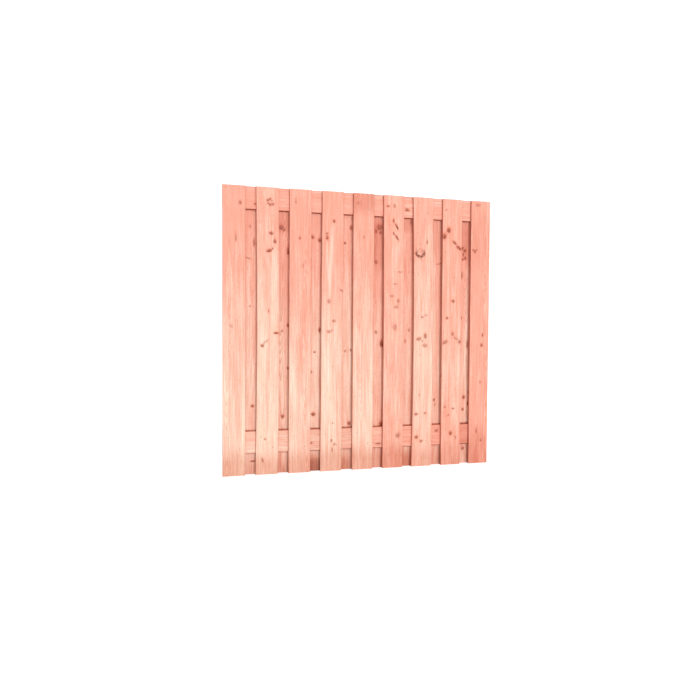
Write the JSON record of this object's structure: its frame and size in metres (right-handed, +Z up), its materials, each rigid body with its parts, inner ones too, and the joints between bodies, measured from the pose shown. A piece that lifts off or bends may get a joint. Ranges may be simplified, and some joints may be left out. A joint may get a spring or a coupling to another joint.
{
  "type": "plank fence panel",
  "caption": "Square garden fence panel of upright planed planks nailed to both sides of two level rails, the back planks standing behind the gaps of the front ones.",
  "frame": {"origin": "on the ground under the panel, midway along it and in the middle of the rails' thickness", "axes": "+X along the panel to the right seen from the front, +Y through it from the front planks to the back planks, +Z up along the planks"},
  "size_m": [1.8, 0.045, 1.8],
  "materials": {
    "boards": "planed Douglas fir, salmon-pink heartwood with paler sapwood along some edges, matt",
    "nails": "stainless steel wire nails, dull"
  },
  "bodies": {
    "root": {"front_plank_1": "boards", "front_plank_2": "boards", "front_plank_3": "boards", "front_plank_4": "boards", "front_plank_5": "boards", "front_plank_6": "boards", "front_plank_7": "boards", "front_plank_8": "boards", "front_plank_9": "boards", "back_plank_1": "boards", "back_plank_2": "boards", "back_plank_3": "boards", "back_plank_4": "boards", "back_plank_5": "boards", "back_plank_6": "boards", "back_plank_7": "boards", "back_plank_8": "boards", "top_rail": "boards", "bottom_rail": "boards", "front_nails": "nails", "back_nails": "nails"}
  },
  "joints": []
}
